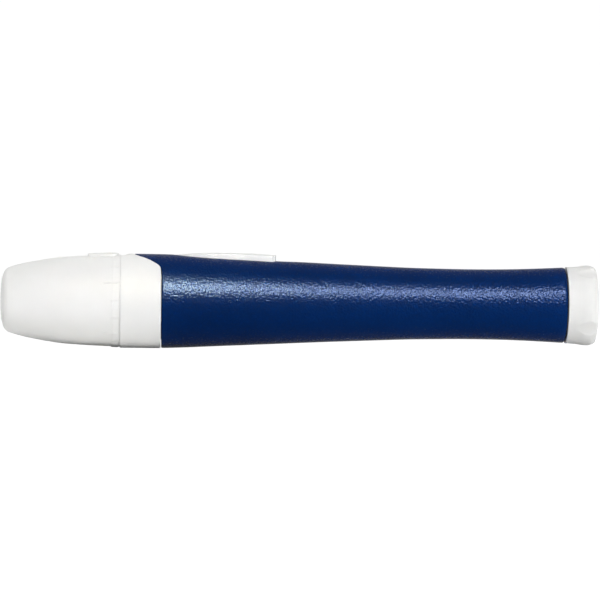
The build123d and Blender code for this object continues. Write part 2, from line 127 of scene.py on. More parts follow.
def makePiece(name, points, faces, material, body, nodes, sharp=32):
    # a closed mesh whose doubles are merged and whose faces point outwards
    mesh = bpy.data.meshes.new(name)
    mesh.from_pydata(points.reshape(-1, 3), [], faces)
    work = bmesh.new()
    work.from_mesh(mesh)
    bmesh.ops.remove_doubles(work, verts=work.verts, dist=mergeWithin)
    bmesh.ops.recalc_face_normals(work, faces=work.faces)
    if work.calc_volume(signed=True) < 0:
        bmesh.ops.reverse_faces(work, faces=work.faces)
    work.to_mesh(mesh)
    work.free()
    mesh.polygons.foreach_set("use_smooth", np.ones(len(mesh.polygons), bool))
    mesh.set_sharp_from_angle(angle=math.radians(sharp))
    piece = bpy.data.objects.new(name, mesh)
    bpy.context.scene.collection.objects.link(piece)
    mesh.materials.append(material)
    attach(piece, body)
    if nodes:
        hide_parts(*nodes)


def ringShell(name, stations, radii, angles, material, body, nodes, closed=True):
    # a profile of (station, radius) rows carried round the axis; it closes on itself or on the axis
    points = aroundAxis(stations, radii, angles[None, :])
    faces = gridFaces(points.shape[0], points.shape[1], closedRows=closed)
    makePiece(name, points, faces, material, body, nodes)


def padShell(outline, spine, topHeight, foot, edge, wallRings=6, rings=9):
    # rings of a plan outline drawn in towards its spine: up a wall, over a rounded edge, across the top
    inward = spine - outline
    turn = np.linspace(0, math.pi / 2, wallRings)
    overEdge = (edge * (1 - np.cos(turn)))[:, None] / np.linalg.norm(inward, axis=1)
    across = np.linspace(0, 1, rings)[1:, None]
    shares = np.concatenate([overEdge, overEdge[-1] + (1 - overEdge[-1]) * across])
    drops = np.concatenate([edge * (1 - np.sin(turn)), np.zeros(rings - 1)])
    plan = outline + shares[..., None] * inward
    height = topHeight(plan[..., 0], plan[..., 1]) - drops[:, None]
    top = np.concatenate([plan, height[..., None]], axis=-1)
    # the underside is flat: its middle, half-way out and its edge
    base = outline + np.array([1.0, 0.5, 0.0])[:, None, None] * inward
    bottom = np.concatenate([base, np.full(base.shape[:2] + (1,), foot)], axis=-1)
    grid = np.concatenate([bottom, top])
    grid[..., 0] -= pen["length"] / 2
    grid[..., 1] *= -1
    grid[..., 2] += pen["axisHeight"]
    return grid * mm, gridFaces(grid.shape[0], grid.shape[1])


# finishes

def newMaterial(name):
    # a Principled material that reads Object coordinates, ready for its textures
    material = bpy.data.materials.new(name)
    material.use_nodes = True
    nodes, links = material.node_tree.nodes, material.node_tree.links
    nodes.clear()
    output = nodes.new("ShaderNodeOutputMaterial")
    shader = nodes.new("ShaderNodeBsdfPrincipled")
    links.new(shader.outputs["BSDF"], output.inputs["Surface"])
    place = nodes.new("ShaderNodeTexCoord")
    return material, nodes, links, shader, place.outputs["Object"]


def noiseOver(nodes, links, place, scale, detail=3.0, roughness=0.55):
    # a noise between 0 and 1 over the piece
    noise = nodes.new("ShaderNodeTexNoise")
    noise.inputs["Scale"].default_value = scale
    noise.inputs["Detail"].default_value = detail
    noise.inputs["Roughness"].default_value = roughness
    links.new(place, noise.inputs["Vector"])
    return noise.outputs["Fac"]


def spread(nodes, links, value, low, high, fromLow=0.3, fromHigh=0.7):
    # the value carried over from one range to another
    ramp = nodes.new("ShaderNodeMapRange")
    ramp.inputs["From Min"].default_value = fromLow
    ramp.inputs["From Max"].default_value = fromHigh
    ramp.inputs["To Min"].default_value = low
    ramp.inputs["To Max"].default_value = high
    links.new(value, ramp.inputs["Value"])
    return ramp.outputs["Result"]


def tinted(nodes, links, value, dark, light, low=0.3, high=0.7):
    # a colour between dark and light, by the value
    ramp = nodes.new("ShaderNodeValToRGB")
    ramp.color_ramp.elements[0].position = low
    ramp.color_ramp.elements[1].position = high
    ramp.color_ramp.elements[0].color = (*dark, 1)
    ramp.color_ramp.elements[1].color = (*light, 1)
    links.new(value, ramp.inputs["Fac"])
    return ramp.outputs["Color"]


def bumped(nodes, links, height, strength, depth, after=None):
    # small relief by a height, laid over an earlier relief if there is one; depths are in metres
    bump = nodes.new("ShaderNodeBump")
    bump.inputs["Strength"].default_value = strength
    bump.inputs["Distance"].default_value = depth
    links.new(height, bump.inputs["Height"])
    if after is not None:
        links.new(after, bump.inputs["Normal"])
    return bump.outputs["Normal"]


def mouldedPlastic(name, look):
    # a plain moulding: slow colour drift, uneven gloss, a faint pull of the mould and a fine grain
    material, nodes, links, shader, place = newMaterial(name)
    drift = noiseOver(nodes, links, place, look["driftScale"], detail=2.0)
    links.new(tinted(nodes, links, drift, look["dark"], look["light"]), shader.inputs["Base Color"])
    gloss = noiseOver(nodes, links, place, look["glossScale"], detail=4.0)
    links.new(spread(nodes, links, gloss, *look["roughness"]), shader.inputs["Roughness"])
    grain = noiseOver(nodes, links, place, look["grainScale"], detail=5.0, roughness=0.6)
    wave = noiseOver(nodes, links, place, look["waveScale"], detail=1.0)
    normal = bumped(nodes, links, wave, look["waveStrength"], look["waveDepth"])
    normal = bumped(nodes, links, grain, look["grainStrength"], look["grainDepth"], normal)
    links.new(normal, shader.inputs["Normal"])
    shader.inputs["IOR"].default_value = look["ior"]
    shader.inputs["Specular IOR Level"].default_value = look["specular"]
    if look["inside"]:
        shader.inputs["Subsurface Weight"].default_value = look["inside"]
        shader.inputs["Subsurface Radius"].default_value = look["insideColour"]
        shader.inputs["Subsurface Scale"].default_value = look["insideReach"]
    return material


whiteLook = {
    "dark": (0.80, 0.80, 0.785), "light": (0.845, 0.845, 0.835), "driftScale": 90.0,
    "glossScale": 260.0, "roughness": (0.36, 0.46), "grainScale": 5200.0, "grainStrength": 0.25,
    "grainDepth": 0.00001, "waveScale": 120.0, "waveStrength": 0.15, "waveDepth": 0.00006,
    "ior": 1.49, "specular": 0.008, "inside": 0.12, "insideColour": (1.0, 0.9, 0.8),
    "insideReach": 0.0012,
}
knobLook = dict(whiteLook, dark=(0.66, 0.66, 0.65), light=(0.70, 0.70, 0.69))
innerLook = dict(whiteLook, dark=(0.52, 0.53, 0.53), light=(0.58, 0.585, 0.58), roughness=(0.45, 0.6))
carrierLook = dict(whiteLook, dark=(0.60, 0.61, 0.62), light=(0.67, 0.675, 0.68), inside=0.0)
whiteShell = mouldedPlastic("whiteShell", whiteLook)
whiteButton = mouldedPlastic("whiteButton", dict(whiteLook, driftScale=140.0))
knobShell = mouldedPlastic("knobShell", knobLook)
innerPlastic = mouldedPlastic("innerPlastic", innerLook)
carrierPlastic = mouldedPlastic("carrierPlastic", carrierLook)

barrelLook = {
    "dark": (0.0002, 0.0105, 0.060), "light": (0.0005, 0.018, 0.098), "driftScale": 70.0,
    "driftShare": 0.45, "grainScale": 2250.0, "grainFrom": (0.36, 0.66), "roughness": (0.29, 0.18),
    "cellScale": 2500.0, "cellSmoothness": 0.6, "cellStrength": 0.5, "fineScale": 2750.0,
    "fineStrength": 1.0, "bumpDepth": 0.000078, "ior": 1.5, "gloss": 0.05,
    "sheenTint": (0.42, 0.57, 1.0),
}


def mouldTextured(name, look):
    # fine spark-eroded grain: small rounded bumps of two kinds, each with its own gloss, and light and
    # shade on the grain painted into the colour
    material, nodes, links, shader, place = newMaterial(name)
    drift = noiseOver(nodes, links, place, look["driftScale"])
    grainAndPaintedShade = noiseOver(nodes, links, place, look["grainScale"], detail=2.0, roughness=0.6)
    # the colour follows the slow drift, the plastic's own uneven tone, and for the rest painted shade: the
    # grain's specks are made lighter and darker, as light and shade on them would make them
    shade = nodes.new("ShaderNodeMix")
    shade.inputs["Factor"].default_value = look["driftShare"]
    links.new(grainAndPaintedShade, shade.inputs["A"])
    links.new(drift, shade.inputs["B"])
    links.new(tinted(nodes, links, shade.outputs["Result"], look["dark"], look["light"]),
              shader.inputs["Base Color"])
    links.new(spread(nodes, links, grainAndPaintedShade, *look["roughness"], *look["grainFrom"]),
              shader.inputs["Roughness"])
    cells = nodes.new("ShaderNodeTexVoronoi")
    cells.feature = "SMOOTH_F1"
    cells.inputs["Scale"].default_value = look["cellScale"]
    cells.inputs["Smoothness"].default_value = look["cellSmoothness"]
    links.new(place, cells.inputs["Vector"])
    fine = noiseOver(nodes, links, place, look["fineScale"], detail=1.0, roughness=0.5)
    normal = bumped(nodes, links, cells.outputs["Distance"], look["cellStrength"], -look["bumpDepth"])
    normal = bumped(nodes, links, fine, look["fineStrength"], look["bumpDepth"], normal)
    links.new(normal, shader.inputs["Normal"])
    shader.inputs["IOR"].default_value = look["ior"]
    shader.inputs["Specular IOR Level"].default_value = look["gloss"]
    shader.inputs["Specular Tint"].default_value = (*look["sheenTint"], 1)
    return material


blueBarrel = mouldTextured("blueBarrel", barrelLook)

steelLook = {"dark": (0.42, 0.42, 0.43), "light": (0.60, 0.60, 0.61), "roughness": (0.22, 0.38),
             "markScale": 900.0, "markStrength": 0.3, "markDepth": 0.00002}


def drawnSteel(name, look):
    # spring wire: a metal with drawing marks and a little uneven gloss
    material, nodes, links, shader, place = newMaterial(name)
    marks = noiseOver(nodes, links, place, look["markScale"], detail=5.0)
    links.new(tinted(nodes, links, marks, look["dark"], look["light"]), shader.inputs["Base Color"])
    links.new(spread(nodes, links, marks, *look["roughness"]), shader.inputs["Roughness"])
    links.new(bumped(nodes, links, marks, look["markStrength"], look["markDepth"]),
              shader.inputs["Normal"])
    shader.inputs["Metallic"].default_value = 1.0
    return material


springSteel = drawnSteel("springSteel", steelLook)
print("finishes made")


# depth dial

dial = {
    "length": 21.5, "bore": 5.95, "seatBore": 5.0, "seatEnd": 6.4, "aperture": 2.2, "wall": 1.6,
    "side": ((0.9, 5.44), (1.26, 5.74), (1.62, 5.90), (2.0, 6.03), (2.7, 6.24), (3.42, 6.43), (5.04, 6.80),
             (6.5, 7.08), (7.92, 7.33), (9.36, 7.56), (10.8, 7.75), (12.24, 7.88), (13.7, 7.97),
             (15.1, 8.05), (18.0, 8.18), (21.5, 8.30)),
    "sideRows": ((0.9, 3.4, 14), (3.8, 20.0, 38), (20.1, 21.35, 14)),       # from, to and how many
    "face": ((0.1, 2.2), (0.13, 2.5), (0.2, 3.6), (0.36, 4.25), (0.52, 4.75), (0.68, 5.12)),
    "rimRadius": 8.30, "rimStart": 20.25, "rimBlend": 0.1, "rimRise": 0.035, "rimRounding": 0.06,
    "lipRadius": 8.31, "lipEnd": 21.58, "notchRim": 7.1, "notchRadius": 0.5, "notchCount": 16,
    "notchDepth": 1.0, "beadStart": 7.5, "beadEnd": 8.8, "beadRadius": 6.4, "columns": 384,
}


def dialSide(station):
    # radius of the outside at a station
    return smoothThrough(dial["side"], station)


def dialRows():
    # nose face, side, rear edge, counterbore, bore, cam seat and aperture, as (station, radius) rows
    along = np.concatenate([np.linspace(*stretch) for stretch in dial["sideRows"]])
    rim = dial["rimRise"] * easeStep(dial["rimStart"] - dial["rimBlend"], dial["rimStart"], along)
    side = np.stack([along, dialSide(along) + rim], axis=1)
    counterbore = dial["length"] - dial["notchDepth"]
    soft, fine, crisp = edges["soft"], edges["fine"], edges["crisp"]
    inside = roundedCorners((
        (dial["length"], dial["rimRadius"] + dial["rimRise"], dial["rimRounding"]),
        (dial["length"], dial["lipRadius"], 0.0), (dial["lipEnd"], dial["lipRadius"], crisp),
        (dial["lipEnd"], dial["notchRim"], crisp), (counterbore, dial["notchRim"], fine),
        (counterbore, dial["bore"], fine), (dial["beadEnd"], dial["bore"], soft),
        (dial["beadEnd"], dial["beadRadius"], soft), (dial["beadStart"], dial["beadRadius"], soft),
        (dial["beadStart"], dial["bore"], soft), (dial["seatEnd"], dial["bore"], fine),
        (dial["seatEnd"], dial["seatBore"], fine), (dial["wall"], dial["seatBore"], soft),
        (dial["wall"], dial["aperture"], soft)))
    return np.concatenate([np.array(dial["face"]), side, inside])


def buildDial():
    # the profile turned round the axis, pushed out where the counterbore has its notches
    rows = dialRows()
    angles = fullTurn(dial["columns"])
    # half-round notches, in the rows that lie on the notch rim
    across = dial["notchRim"] * np.sin(fromNearest(angles, dial["notchCount"]))
    notch = np.sqrt(np.maximum(dial["notchRadius"] ** 2 - across ** 2, 0))
    onRim = (np.abs(rows[:, 1:] - dial["notchRim"]) < edges["soft"]) & (
        rows[:, :1] > dial["length"] - dial["notchDepth"] - edges["soft"])
    radii = rows[:, 1:] + np.where(onRim, notch, 0)
    ringShell("dialShell", rows[:, :1], radii, angles, whiteShell, "dial", ["depth_dial"])


indexPad = {"end": 21.25, "length": 5.6, "halfWidth": 2.2, "corner": 1.0, "rise": 0.43, "edge": 0.16,
            "foot": 7.2}


def roundedBox(start, end, halfWidth, corner, count=15):
    # plan of a box with round corners, as points that turn once round it
    turn = np.linspace(0, math.pi / 2, count)
    arcs = []
    for quarter, (station, side) in enumerate(((end - corner, halfWidth - corner),
                                               (start + corner, halfWidth - corner),
                                               (start + corner, corner - halfWidth),
                                               (end - corner, corner - halfWidth))):
        angle = turn + quarter * math.pi / 2
        arcs.append(np.stack([station + corner * np.cos(angle), side + corner * np.sin(angle)], axis=1))
    return np.concatenate(arcs)


def cylinderTop(radiusAt, leastSquare=0.01):
    # height over the axis of a round surface, at a station and a distance aside
    return lambda station, aside: np.sqrt(np.maximum(radiusAt(station) ** 2 - aside ** 2, leastSquare))


def buildIndexPad():
    # a round-cornered plan whose top stays the same height over the dial's side
    start, end, halfWidth = indexPad["end"] - indexPad["length"], indexPad["end"], indexPad["halfWidth"]
    outline = roundedBox(start, end, halfWidth, indexPad["corner"])
    spine = np.stack([np.clip(outline[:, 0], start + halfWidth, end - halfWidth), 0 * outline[:, 1]],
                     axis=1)
    grid, faces = padShell(outline, spine, cylinderTop(lambda s: dialSide(s) + indexPad["rise"]),
                           indexPad["foot"], indexPad["edge"])
    makePiece("dialIndexPad", grid, faces, whiteShell, "dial", [])


ticks = {"end": 21.3, "long": 2.75, "short": 1.4, "halfWidth": 0.13, "rise": 0.09, "depth": 0.1,
         "bluntness": 8, "spacing": 22.5, "longEvery": 3, "first": 2, "last": 14, "rows": 16,
         "columns": 14}


def buildTicks():
    # each rib is an oval rod along the dial, half sunk in its side, that tapers to a point at both ends
    along = np.linspace(0, 1, ticks["rows"])[:, None]
    turn = fullTurn(ticks["columns"])[None, :]
    ends = np.sqrt(np.clip(1 - np.abs(2 * along - 1) ** ticks["bluntness"], 0, 1))
    height = np.where(np.sin(turn) > 0, ticks["rise"], ticks["depth"]) * np.sin(turn) * ends
    aside = np.cos(turn) * ends * ticks["halfWidth"] / dial["rimRadius"]
    points, faces = [], []
    for index in range(ticks["first"], ticks["last"] + 1):
        length = ticks["long"] if index % ticks["longEvery"] == 0 else ticks["short"]
        station = ticks["end"] - length * (1 - along) + 0 * turn
        angle = math.radians(index * ticks["spacing"]) + aside
        rib = aroundAxis(station, dialSide(station) + dial["rimRise"] + height, angle)
        faces.append(gridFaces(*rib.shape[:2]) + len(points) * rib.shape[0] * rib.shape[1])
        points.append(rib.reshape(-1, 3))
    makePiece("dialTicks", np.concatenate(points), np.concatenate(faces), whiteShell, "dial", [])


buildDial()
buildIndexPad()
buildTicks()
print("depth dial built")


# the tongue's outline, shared by the collar and the barrel

tongue = {
    "start": 24.0, "root": 29.0, "halfWidth": 7.4, "gap": 0.13,
    "plan": ((0.0, 0.0), (0.9, 0.025), (1.8, 0.095), (2.8, 0.25), (3.5, 0.42), (4.2, 0.60), (5.0, 0.785),
             (5.45, 0.90), (5.9, 0.97), (6.4, 0.992), (7.4, 1.0)),
}


def tongueEdge(aside, margin=0.0):
    # station of the tongue's edge at a distance aside from the middle, or of its root beyond it
    share = smoothThrough(tongue["plan"], np.clip(np.abs(aside), 0, tongue["halfWidth"]))
    return tongue["start"] + (tongue["root"] - tongue["start"]) * np.clip(share, 0, 1) - margin


# collar

collar = {
    "start": 21.6, "end": 28.9, "radius": 8.5, "webEnd": 23.1, "neckStart": 23.4, "neckBore": 6.95,
    "tubeRadius": 5.9, "tubeBore": 5.1, "tubeStart": 6.65, "beadStart": 7.65, "beadEnd": 8.65,
    "beadRise": 0.35, "rampEnd": 23.2, "rampDepth": 0.42, "rampHalfWidth": 2.3, "rampFade": 0.8,
    "mouth": 7.2, "frontRounding": 0.08, "rearStart": 23.25, "rearRounding": 0.1, "columns": 384,
    "cornerRows": 9, "rampRows": 12, "sideRows": 16, "edgeRows": 5,
}


def collarEdge(radius, angles):
    # station of the rear edge at a radius: it follows the tongue on the upper half, within the collar
    edge = np.where(np.cos(angles) > 0, tongueEdge(radius * np.sin(angles), tongue["gap"]),
                    collar["end"])
    return np.minimum(edge, collar["end"])


def buildCollar():
    # stretches of rows from the front to the rear edge and back inside, turned round the axis
    angles = fullTurn(collar["columns"])
    edgeOut, edgeIn = collarEdge(collar["radius"], angles), collarEdge(collar["neckBore"], angles)
    steps = collar["cornerRows"]
    outer = roundedCorners(((collar["start"], collar["mouth"], 0.0),
                            (collar["start"], collar["radius"], collar["frontRounding"]),
                            (collar["rampEnd"], collar["radius"], 0.0)), steps)[steps:2 * steps]
    along = np.linspace(collar["start"] + 1.5 * collar["frontRounding"], collar["rampEnd"],
                        collar["rampRows"])
    outer = np.concatenate([outer, np.stack([along, 0 * along + collar["radius"]], axis=1)])
    # a ramp on top, in line with the dial's index pad, that fades out to both sides and to the rear
    aside = np.where(np.cos(angles) > 0, np.abs(collar["radius"] * np.sin(angles)), collar["radius"])
    ramp = (collar["rampDepth"] * (1 - easeStep(collar["start"], collar["rampEnd"], outer[:, :1]))
            * easeStep(collar["rampHalfWidth"], collar["rampHalfWidth"] - collar["rampFade"], aside))
    stations = [outer[:, :1] + 0 * angles]
    radii = [outer[:, 1:] - ramp]
    # the outside behind the ramp, then the rounded rear edge, each a stretch of (station, radius) rows
    t = np.linspace(0, 1, collar["sideRows"])[:, None]
    rounding = collar["rearRounding"]
    stations.append(collar["rearStart"] + t * (edgeOut - rounding - collar["rearStart"]))
    radii.append(collar["radius"] + 0 * stations[-1])
    turn = np.linspace(0, math.pi / 2, collar["edgeRows"])[:, None]
    stations.append(edgeOut - rounding + rounding * np.sin(turn))
    radii.append(collar["radius"] - rounding + rounding * np.cos(turn) + 0 * angles)
    stations.append(edgeIn[None, :])
    radii.append(np.full((1, len(angles)), collar["neckBore"]))
    # the neck's bore, the web and the tube with its bead, back to the mouth
    soft, bead = edges["soft"], collar["tubeRadius"] + collar["beadRise"]
    inner = roundedCorners((
        (collar["neckStart"], collar["neckBore"], 0.0), (collar["webEnd"], collar["neckBore"], soft),
        (collar["webEnd"], collar["tubeBore"], soft),
        (collar["tubeStart"], collar["tubeBore"], edges["tip"]),
        (collar["tubeStart"], collar["tubeRadius"], edges["tip"]),
        (collar["beadStart"], collar["tubeRadius"], soft), (collar["beadStart"], bead, soft),
        (collar["beadEnd"], bead, soft), (collar["beadEnd"], collar["tubeRadius"], soft),
        (collar["start"], collar["tubeRadius"], edges["fine"]),
        (collar["start"], collar["mouth"], 0.0)))
    stations.append(inner[:, :1] + 0 * angles)
    radii.append(inner[:, 1:] + 0 * angles)
    ringShell("capCollar", np.concatenate(stations), np.concatenate(radii), angles, whiteShell, "cap",
              ["cap_base"])


buildCollar()
print("collar built")


# barrel

barrel = {
    "start": 29.0, "end": 101.93, "bore": 6.9, "midBore": 5.95, "boreEnd": 53.0, "tailBore": 5.09,
    "tailSeat": 5.7, "tailSeatStart": 97.2, "neckEnd": 32.3, "tongueRadius": 8.44,
    "side": ((20.0, 8.5), (24.0, 8.5), (27.0, 8.49), (29.9, 8.46), (33.5, 8.33), (38.5, 8.08),
             (43.6, 7.84), (48.6, 7.60), (53.6, 7.35), (58.7, 7.11), (63.7, 6.90), (68.8, 6.69),
             (73.8, 6.50), (78.8, 6.40), (83.0, 6.345), (86.4, 6.345), (91.4, 6.41), (96.5, 6.58),
             (99.0, 6.70), (101.95, 6.85)),
    "dishStart": 31.0, "dishDeep": 37.5, "dishRear": 49.0, "dishEnd": 56.0, "dishDepth": 0.30,
    "dishHalfWidth": 3.9, "dishCosine": 0.2, "tailRounding": 0.5,
    "frontRounding": 0.26, "frontShares": (0, 0.008, 0.02, 0.035, 0.055, 0.08, 0.11, 0.15),
    "frontRows": (0.2, 1, 12), "behindRows": 15, "tailRows": 46, "rimRows": 6,
    "fineEnd": 57.0, "fanWidth": 2.0, "fanLength": 3.0, "slotColumns": 13, "restColumns": 211,
}
buttonSlot = {"start": 30.85, "end": 49.75, "halfWidth": 2.25, "frontLength": 6.0, "rearLength": 0.8,
              "least": 0.06, "rows": (16, 14, 7)}


def slotHalfWidth(station, plan):
    # an ellipse in front, straight flanks, and a shallow arch behind
    front = 1 - np.clip((plan["start"] + plan["frontLength"] - station) / plan["frontLength"], 0, 1) ** 2
    rear = 1 - np.clip((station - plan["end"] + plan["rearLength"]) / plan["rearLength"], 0, 1) ** 2
    return plan["least"] + (plan["halfWidth"] - plan["least"]) * np.sqrt(front * rear)


def slotStations(plan):
    # rows along the slot, closer together towards both of its ends
    frontRows, flankRows, rearRows = plan["rows"]
    flankStart, flankEnd = plan["start"] + plan["frontLength"], plan["end"] - plan["rearLength"]
    front = plan["start"] + plan["frontLength"] * (1 - np.cos(np.linspace(0, math.pi / 2, frontRows)))
    rear = flankEnd + plan["rearLength"] * np.sin(np.linspace(0, math.pi / 2, rearRows))
    return np.concatenate([front, np.linspace(flankStart, flankEnd, flankRows)[1:-1], rear])


def barrelRadius(station, angle):
    # the side's radius, less the thumb dish, which is deepest in front and fades behind the button
    side = smoothThrough(barrel["side"], station)
    fadeOut = (easeStep(barrel["dishDeep"], barrel["dishRear"], station)
               + easeStep(barrel["dishRear"], barrel["dishEnd"], station)) / 2
    floor = side - barrel["dishDepth"] * easeStep(barrel["dishStart"], barrel["dishDeep"], station) * (
        1 - fadeOut)
    # the dish's floor is flat across, so its radius grows with the angle from the top
    cosine = np.cos(angle)
    flat = floor / np.maximum(cosine, barrel["dishCosine"])
    inDish = (cosine > barrel["dishCosine"]) & (np.abs(side * np.sin(angle)) < barrel["dishHalfWidth"])
    return softLess(side, np.where(inDish, flat, outOfReach))


def barrelGrid():
    # stations and angles of the outside's grid: in front of the slot, along it, behind it and the tail
    before = np.concatenate([barrel["frontShares"], np.linspace(*barrel["frontRows"])[:-1]])
    slotRows = slotStations(buttonSlot)
    behind = np.linspace(buttonSlot["end"], barrel["fineEnd"], barrel["behindRows"])[1:]
    tail = np.linspace(barrel["fineEnd"], barrel["end"] - barrel["tailRounding"], barrel["tailRows"])[1:]
    fixed = np.concatenate([slotRows, behind, tail])
    first, last = len(before), len(before) + len(slotRows) - 1
    # the slot's own columns fan out in front of it and behind it
    fan = np.concatenate([1 - before, np.clip((fixed - buttonSlot["end"]) / barrel["fanLength"], 0, 1)])
    half = buttonSlot["least"] + fan * barrel["fanWidth"]
    half[first:last + 1] = slotHalfWidth(slotRows, buttonSlot)
    nominal = np.concatenate([np.full(first, buttonSlot["start"]), fixed])
    slotAngle = np.arcsin(half / smoothThrough(barrel["side"], nominal))[:, None]
    inSlot = np.linspace(-1, 1, barrel["slotColumns"])[None, :] * slotAngle
    share = np.linspace(0, 1, barrel["restColumns"] + 2)[None, 1:-1]
    angles = np.concatenate([inSlot, slotAngle + share * (2 * math.pi - 2 * slotAngle)], axis=1)
    # rows in front of the slot run from the tongue's edge
    ahead = angles[:first]
    edge = np.where(np.cos(ahead) > 0, tongueEdge(barrel["tongueRadius"] * np.sin(ahead)),
                    barrel["start"])
    stations = np.concatenate([
        edge + (buttonSlot["start"] - edge) * before[:, None],
        np.broadcast_to(fixed[:, None], (len(fixed), angles.shape[1]))])
    return stations, angles, edge, first, last


def barrelBore(station):
    # the neck's bore, the chassis's, the sleeve's and the seat of the rear guide, one behind the other
    bore = np.where(station < barrel["neckEnd"], barrel["bore"], barrel["midBore"])
    bore = np.where(station > barrel["boreEnd"], barrel["tailBore"], bore)
    return np.where(station > barrel["tailSeatStart"], barrel["tailSeat"], bore)


def wallsAt(faces, total):
    # every open edge of the kept faces gets a wall down to the bore's points, a total further on
    sides = np.concatenate([faces[:, [0, 1]], faces[:, [1, 2]], faces[:, [2, 3]], faces[:, [3, 0]]])
    keys = np.sort(sides, axis=1)
    unique, where, counts = np.unique(keys[:, 0] * total + keys[:, 1], return_index=True,
                                      return_counts=True)
    start, end = sides[where[counts == 1]].T
    return np.stack([end, start, start + total, end + total], axis=1)


def buildBarrel():
    # the outside and the bore are one grid at two radii, open at the slot, with walls between them
    stations, angles, edge, first, last = barrelGrid()
    radii = barrelRadius(stations, angles)
    # the front edge is rounded outside
    rounding = barrel["frontRounding"]
    behindEdge = np.clip((stations[:first] - edge) / rounding, 0, 1)
    radii[:first] -= rounding * (1 - np.sqrt(1 - (1 - behindEdge) ** 2))
    # the rear edge rounds over to the seat of the rear guide
    rounding = barrel["tailRounding"]
    turn = np.linspace(0, math.pi / 2, barrel["rimRows"])[1:, None]
    rim = barrel["end"] - rounding * (1 - np.sin(turn)) + 0 * angles[:1]
    bore = np.concatenate([barrelBore(stations), np.full(rim.shape, barrel["tailSeat"])])
    radii = np.concatenate([radii, radii[-1] - rounding * (1 - np.cos(turn))])
    stations = np.concatenate([stations, rim])
    angles = np.concatenate([angles, np.repeat(angles[-1:], len(rim), axis=0)])
    rows, columns = stations.shape
    faces = gridFaces(rows, columns)
    row, column = np.divmod(np.arange(len(faces)), columns)
    faces = faces[~((row >= first) & (row < last) & (column < barrel["slotColumns"] - 1))]
    total = rows * columns
    points = np.concatenate([aroundAxis(stations, radii, angles).reshape(-1, 3),
                             aroundAxis(stations, bore, angles).reshape(-1, 3)])
    faces = np.concatenate([faces, faces[:, ::-1] + total, wallsAt(faces, total)])
    makePiece("barrelShell", points, faces, blueBarrel, "handle", ["barrel"])


buildBarrel()
print("barrel built")


# release button

button = {
    "start": 31.0, "end": 49.6, "halfWidth": 2.1, "frontLength": 6.0, "rearLength": 0.8, "least": 0.02,
    "rows": (16, 16, 8), "foot": 6.25, "edge": 0.16, "spineFront": 1.6, "spineRear": 0.9,
    "top": ((31.0, 8.34), (33.0, 8.55), (36.0, 8.77), (39.5, 8.83), (43.5, 8.80), (46.5, 8.69),
            (49.6, 8.52)),
}


def buildButton():
    # the slot's kind of plan under a top that is round across and crowned along
    along = slotStations(button)
    half = slotHalfWidth(along, button)
    outline = np.concatenate([np.stack([along, half], axis=1), np.stack([along, -half], axis=1)[::-1]])
    middle = np.clip(outline[:, 0], button["start"] + button["spineFront"],
                     button["end"] - button["spineRear"])
    spine = np.stack([middle, 0 * middle], axis=1)
    grid, faces = padShell(outline, spine, cylinderTop(lambda s: smoothThrough(button["top"], s)),
                           button["foot"], button["edge"])
    makePiece("releaseButton", grid, faces, whiteButton, "button", ["release_button"],
              sharp=50)


buildButton()
print("release button built")


# end knob

knob = {
    "start": 102.1, "wall": 1.2, "floor": 106.0, "bore": 4.0, "boss": 4.95, "skirt": 6.92,
    "skirtRounding": 0.08, "rim": 6.91, "rimRounding": 0.12, "sideEnd": 106.2, "widest": 7.22,
    "side": ((101.9, 6.90), (103.7, 6.97), (104.4, 7.05), (105.0, 7.17), (105.5, 7.22), (106.2, 7.22)),
    "corner": ((106.2, 7.22), (106.45, 7.17), (106.8, 7.04), (107.1, 6.93), (107.25, 6.84),
               (107.35, 6.66), (107.42, 6.35), (107.53, 5.5), (107.66, 4.3), (107.84, 2.6),
               (107.96, 1.2), (108.0, 0.0)),
    "scallops": 4, "scallopTurn": 36.0, "scallopDepth": 0.44, "scallopRound": 4.6, "scallopLean": 3.2,
    "scallopAt": 106.9, "faceCentre": 1.0, "sideRows": 24, "cornerRows": 40, "columns": 320,
}


def knobRows():
    # the inside from its floor to the rim, the side, and the corner with the end face
    along = np.linspace(knob["start"] + knob["rimRounding"], knob["sideEnd"], knob["sideRows"])
    side = np.stack([along, smoothThrough(knob["side"], along)], axis=1)
    corner = evenlySpaced(np.array(knob["corner"]), knob["cornerRows"])
    soft, trench, skirt = edges["soft"], knob["floor"] - knob["wall"], knob["skirt"] - knob["wall"]
    inside = roundedCorners((
        (knob["floor"], 0.0, 0.0), (knob["floor"], knob["bore"], soft),
        (knob["start"], knob["bore"], soft), (knob["start"], knob["boss"], soft),
        (trench, knob["boss"], soft), (trench, skirt, soft),
        (knob["start"], skirt, knob["skirtRounding"]), (knob["start"], knob["rim"], knob["rimRounding"])))
    rows = np.concatenate([inside, side, corner[1:]])
    rows[-1, 1] = 0
    return rows, np.arange(len(rows)) >= len(inside)


def buildKnob():
    # the profile turned round the axis, with scallops cut from its side
    rows, outside = knobRows()
    angles = fullTurn(knob["columns"])
    stations, radii = rows[:, :1], rows[:, 1:] + 0 * angles
    # each scallop is a leaning round cutter: its near side, seen from the axis, limits the radius
    offset = fromNearest(angles - math.radians(knob["scallopTurn"]), knob["scallops"])
    lean = (knob["scallopAt"] - stations) * math.tan(math.radians(knob["scallopLean"]))
    centre = knob["widest"] - knob["scallopDepth"] + knob["scallopRound"] + lean
    inner = knob["scallopRound"] ** 2 - (centre * np.sin(offset)) ** 2
    cut = np.where(inner > 0, centre * np.cos(offset) - np.sqrt(np.maximum(inner, 0)), outOfReach)
    cutHere = outside[:, None] & (rows[:, 1:] > knob["faceCentre"])
    radii = np.where(cutHere, softLess(radii, cut), radii)
    ringShell("endKnob", stations, radii, angles, knobShell, "knob", ["cocking_knob"],
              closed=False)


buildKnob()
print("end knob built")


# carried-over parts

